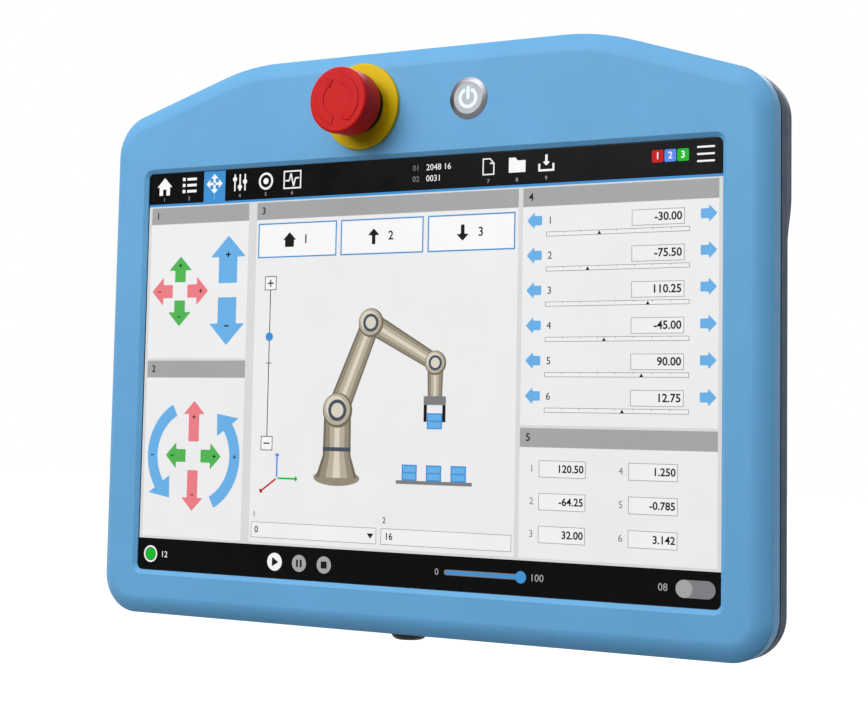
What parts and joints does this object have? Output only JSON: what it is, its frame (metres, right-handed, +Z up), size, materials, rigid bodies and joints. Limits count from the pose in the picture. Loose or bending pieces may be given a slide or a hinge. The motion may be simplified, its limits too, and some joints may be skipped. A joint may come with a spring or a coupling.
{
  "type": "teach pendant",
  "caption": "Handheld robot teach pendant: blue and grey moulded casing with a wide touch display, red twist-release emergency stop and lit power button.",
  "frame": {"origin": "middle of the hanger slot's mouth, behind the casing", "axes": "+X to the right as the user sees the display, +Y from the display into the casing, +Z up towards the emergency stop; the hanger slot opens downwards"},
  "size_m": [0.3, 0.0518, 0.235],
  "materials": {
    "blue_cover": "satin",
    "grey_cover": "satin",
    "seal_rubber": "matte",
    "screw_steel": "satin",
    "screen_glass": "glossy",
    "sheet_metal": "satin",
    "brass": "satin",
    "panel_frame": "satin",
    "circuit_board": "satin",
    "chip_plastic": "matte",
    "bare_aluminium": "satin",
    "pale_plastic": "satin",
    "ribbon_film": "glossy",
    "yellow_disc": "satin",
    "black_plastic": "satin",
    "red_block": "matte",
    "red_head": "satin",
    "red_lead": "satin",
    "ring_steel": "satin",
    "cap_metal": "satin",
    "lit_symbol": "glowing",
    "blue_lead": "satin",
    "cap_rubber": "matte",
    "grip_rubber": "matte"
  },
  "bodies": {
    "housing": {"front_cover": "blue_cover", "rear_cover": "grey_cover", "casing_seal": "seal_rubber", "casing_screws": "screw_steel", "glass_gasket": "seal_rubber", "touch_glass": "screen_glass", "foam_gasket": "seal_rubber", "display_panel": "panel_frame", "chassis": "sheet_metal", "chassis_screws": "screw_steel", "board_standoffs": "brass", "main_board": "circuit_board", "board_screws": "screw_steel", "processor": "chip_plastic", "heat_spreader": "bare_aluminium", "board_parts": "chip_plastic", "board_connectors": "pale_plastic", "display_ribbon": "ribbon_film", "stop_disc": "yellow_disc", "stop_bushing": "black_plastic", "stop_nut": "black_plastic", "stop_contact_block": "red_block", "stop_terminals": "brass", "stop_lead": "red_lead", "power_ring": "ring_steel", "power_nut": "ring_steel", "power_switch_body": "black_plastic", "power_lead": "blue_lead", "data_socket": "sheet_metal", "data_socket_tongue": "black_plastic", "port_board": "circuit_board", "port_cap_pin": "screw_steel", "cable_gland": "black_plastic", "gland_nut": "black_plastic", "grip_pad_left": "grip_rubber", "grip_pad_right": "grip_rubber"},
    "stop_shaft": {"stop_shaft": "pale_plastic"},
    "stop_head": {"stop_head": "red_head"},
    "power_button": {"power_cap": "cap_metal", "power_symbol": "lit_symbol"},
    "port_cap": {"port_cap": "cap_rubber"}
  },
  "joints": [
    {"name": "stop_press", "type": "slide", "parent": "housing", "child": "stop_shaft", "axis": [0, 1, 0], "range_m": [0, 0.0045]},
    {"name": "stop_twist", "type": "hinge", "parent": "stop_shaft", "child": "stop_head", "pos_m": [-0.0223, -0.04, 0.0701], "axis": [0, 1, 0], "range_deg": [0, 45], "stiffness_Nm_per_rad": 0.05},
    {"name": "power_press", "type": "slide", "parent": "housing", "child": "power_button", "axis": [0, 1, 0], "range_m": [0, 0.001], "stiffness_N_per_m": 150},
    {"name": "port_cap_turn", "type": "hinge", "parent": "housing", "child": "port_cap", "pos_m": [-0.1492, -0.0123, 0.03285], "axis": [0, -1, 0], "range_deg": [0, 100]}
  ]
}
